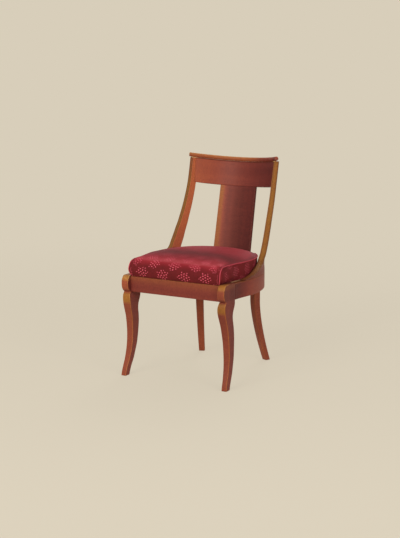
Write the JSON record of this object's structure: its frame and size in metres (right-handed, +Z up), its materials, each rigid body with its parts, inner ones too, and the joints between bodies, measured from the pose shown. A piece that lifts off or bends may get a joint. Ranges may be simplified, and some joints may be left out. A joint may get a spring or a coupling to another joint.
{
  "type": "side chair",
  "caption": "Gondola side chair with sabre legs, tub seat rails, swept back posts, bowed crest with a roll, broad plain splat and a lift-out damask seat.",
  "frame": {"origin": "on the floor, under the middle of the chair's box", "axes": "+X to the sitter's left as seen from the front, right in the front view; +Y to the back; +Z up"},
  "size_m": [0.48, 0.5816, 0.8378],
  "materials": {
    "mahogany": "french polished mahogany",
    "beech": "bare beech",
    "steel": "plain screw steel",
    "linen": "woven linen",
    "hair": "stuffing hair",
    "damask": "crimson silk damask"
  },
  "bodies": {
    "chair": {"front_rail": "mahogany", "rear_rail": "mahogany", "side_rail_left": "mahogany", "side_rail_right": "mahogany", "front_leg_left": "mahogany", "front_leg_right": "mahogany", "rear_leg_left": "mahogany", "rear_leg_right": "mahogany", "back_post_left": "mahogany", "back_post_right": "mahogany", "crest_tablet": "mahogany", "crest_fillet": "mahogany", "crest_roll": "mahogany", "splat": "mahogany", "crest_dowel_left": "beech", "crest_dowel_right": "beech", "rail_key_left": "beech", "rail_key_right": "beech", "front_block_left": "beech", "front_block_right": "beech", "rear_block_left": "beech", "rear_block_right": "beech", "front_block_screw_left_1": "steel", "front_block_screw_left_2": "steel", "front_block_screw_right_1": "steel", "front_block_screw_right_2": "steel", "rear_block_screw_left_1": "steel", "rear_block_screw_left_2": "steel", "rear_block_screw_right_1": "steel", "rear_block_screw_right_2": "steel", "back_post_screw_left_1": "steel", "back_post_screw_left_2": "steel", "back_post_screw_right_1": "steel", "back_post_screw_right_2": "steel"},
    "seat": {"seat_frame_front": "beech", "seat_frame_back": "beech", "seat_frame_left": "beech", "seat_frame_right": "beech", "webbing_cross_1": "linen", "webbing_cross_2": "linen", "webbing_cross_3": "linen", "webbing_long_1": "linen", "webbing_long_2": "linen", "webbing_long_3": "linen", "seat_canvas": "linen", "seat_stuffing": "hair", "seat_cover": "damask", "seat_welt_left": "damask", "seat_welt_right": "damask"}
  },
  "joints": [
    {"name": "seat_lift", "type": "slide", "parent": "chair", "child": "seat", "axis": [0, 0, 1], "range_m": [0, 0.12]}
  ]
}
